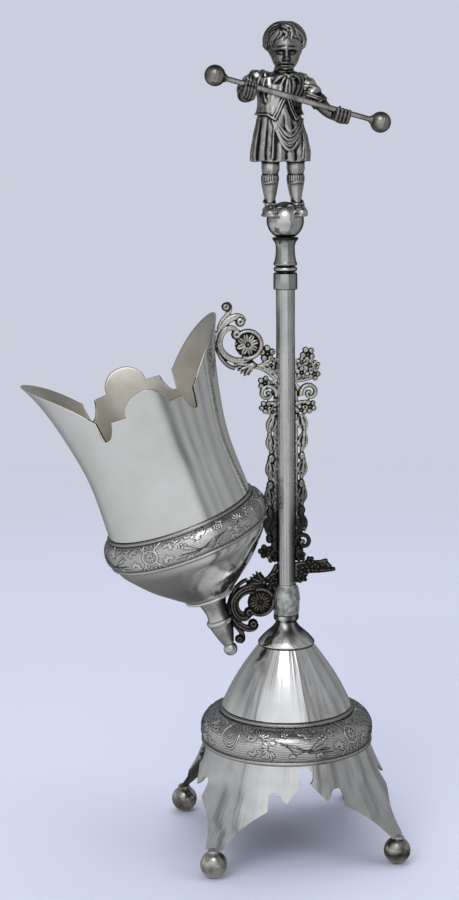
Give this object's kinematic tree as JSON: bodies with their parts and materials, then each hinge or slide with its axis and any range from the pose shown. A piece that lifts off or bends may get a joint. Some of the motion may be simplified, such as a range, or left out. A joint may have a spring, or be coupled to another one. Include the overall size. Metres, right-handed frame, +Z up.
{
  "type": "spoon holder",
  "caption": "Silver-plated figural spoon holder: tilted scalloped cup on a cast scroll bracket, column with balancing child, pierced base on ball feet.",
  "frame": {"origin": "centre of the bounding box, on the ground under the ball feet", "axes": "+Z up along the column, -Y to the front, the cup hangs towards -X"},
  "size_m": [0.1419, 0.0816, 0.317],
  "materials": {
    "balance_bar": "engraved silver plate, satin with dark recesses",
    "bar_ball_left": "engraved silver plate, satin with dark recesses",
    "bar_ball_right": "engraved silver plate, satin with dark recesses",
    "base_band": "engraved silver plate, satin with dark recesses",
    "base_cap": "polished silver plate, lightly tarnished",
    "base_dome": "polished silver plate, lightly tarnished",
    "base_skirt": "polished silver plate, lightly tarnished",
    "bracket_frieze_left": "cast white metal with worn, heavily tarnished silver plate",
    "bracket_frieze_right": "cast white metal with worn, heavily tarnished silver plate",
    "bracket_lower_arm": "cast white metal with worn, heavily tarnished silver plate",
    "bracket_lower_stub": "cast white metal with worn, heavily tarnished silver plate",
    "bracket_upper_arm": "cast white metal with worn, heavily tarnished silver plate",
    "bracket_upper_stub": "cast white metal with worn, heavily tarnished silver plate",
    "column_collar": "polished silver plate, lightly tarnished",
    "column_neck": "polished silver plate, lightly tarnished",
    "column_ring": "polished silver plate, lightly tarnished",
    "column_solder_sleeve": "rough grey lead solder",
    "column_tube": "polished silver plate, lightly tarnished",
    "cup_band": "engraved silver plate, satin with dark recesses",
    "cup_body": "polished silver plate, lightly tarnished",
    "cup_bowl": "polished silver plate, lightly tarnished",
    "cup_drop": "polished silver plate, lightly tarnished",
    "cup_drop_nut": "plain threaded steel, dull",
    "cup_plate": "polished silver plate, lightly tarnished",
    "figure_arm_left": "cast white metal with worn, heavily tarnished silver plate",
    "figure_arm_right": "cast white metal with worn, heavily tarnished silver plate",
    "figure_ball": "polished silver plate, lightly tarnished",
    "figure_body": "cast white metal with worn, heavily tarnished silver plate",
    "foot_ball_back_left": "polished silver plate, lightly tarnished",
    "foot_ball_back_right": "polished silver plate, lightly tarnished",
    "foot_ball_front_left": "polished silver plate, lightly tarnished",
    "foot_ball_front_right": "polished silver plate, lightly tarnished",
    "tie_rod": "plain threaded steel, dull",
    "tie_rod_nut": "plain threaded steel, dull",
    "tie_rod_washer": "plain threaded steel, dull"
  },
  "bodies": {
    "root": {"balance_bar": "balance_bar", "bar_ball_left": "bar_ball_left", "bar_ball_right": "bar_ball_right", "base_band": "base_band", "base_cap": "base_cap", "base_dome": "base_dome", "base_skirt": "base_skirt", "bracket_frieze_left": "bracket_frieze_left", "bracket_frieze_right": "bracket_frieze_right", "bracket_lower_arm": "bracket_lower_arm", "bracket_lower_stub": "bracket_lower_stub", "bracket_upper_arm": "bracket_upper_arm", "bracket_upper_stub": "bracket_upper_stub", "column_collar": "column_collar", "column_neck": "column_neck", "column_ring": "column_ring", "column_solder_sleeve": "column_solder_sleeve", "column_tube": "column_tube", "cup_band": "cup_band", "cup_body": "cup_body", "cup_bowl": "cup_bowl", "cup_drop": "cup_drop", "cup_drop_nut": "cup_drop_nut", "cup_plate": "cup_plate", "figure_arm_left": "figure_arm_left", "figure_arm_right": "figure_arm_right", "figure_ball": "figure_ball", "figure_body": "figure_body", "foot_ball_back_left": "foot_ball_back_left", "foot_ball_back_right": "foot_ball_back_right", "foot_ball_front_left": "foot_ball_front_left", "foot_ball_front_right": "foot_ball_front_right", "tie_rod": "tie_rod", "tie_rod_nut": "tie_rod_nut", "tie_rod_washer": "tie_rod_washer"}
  },
  "joints": []
}
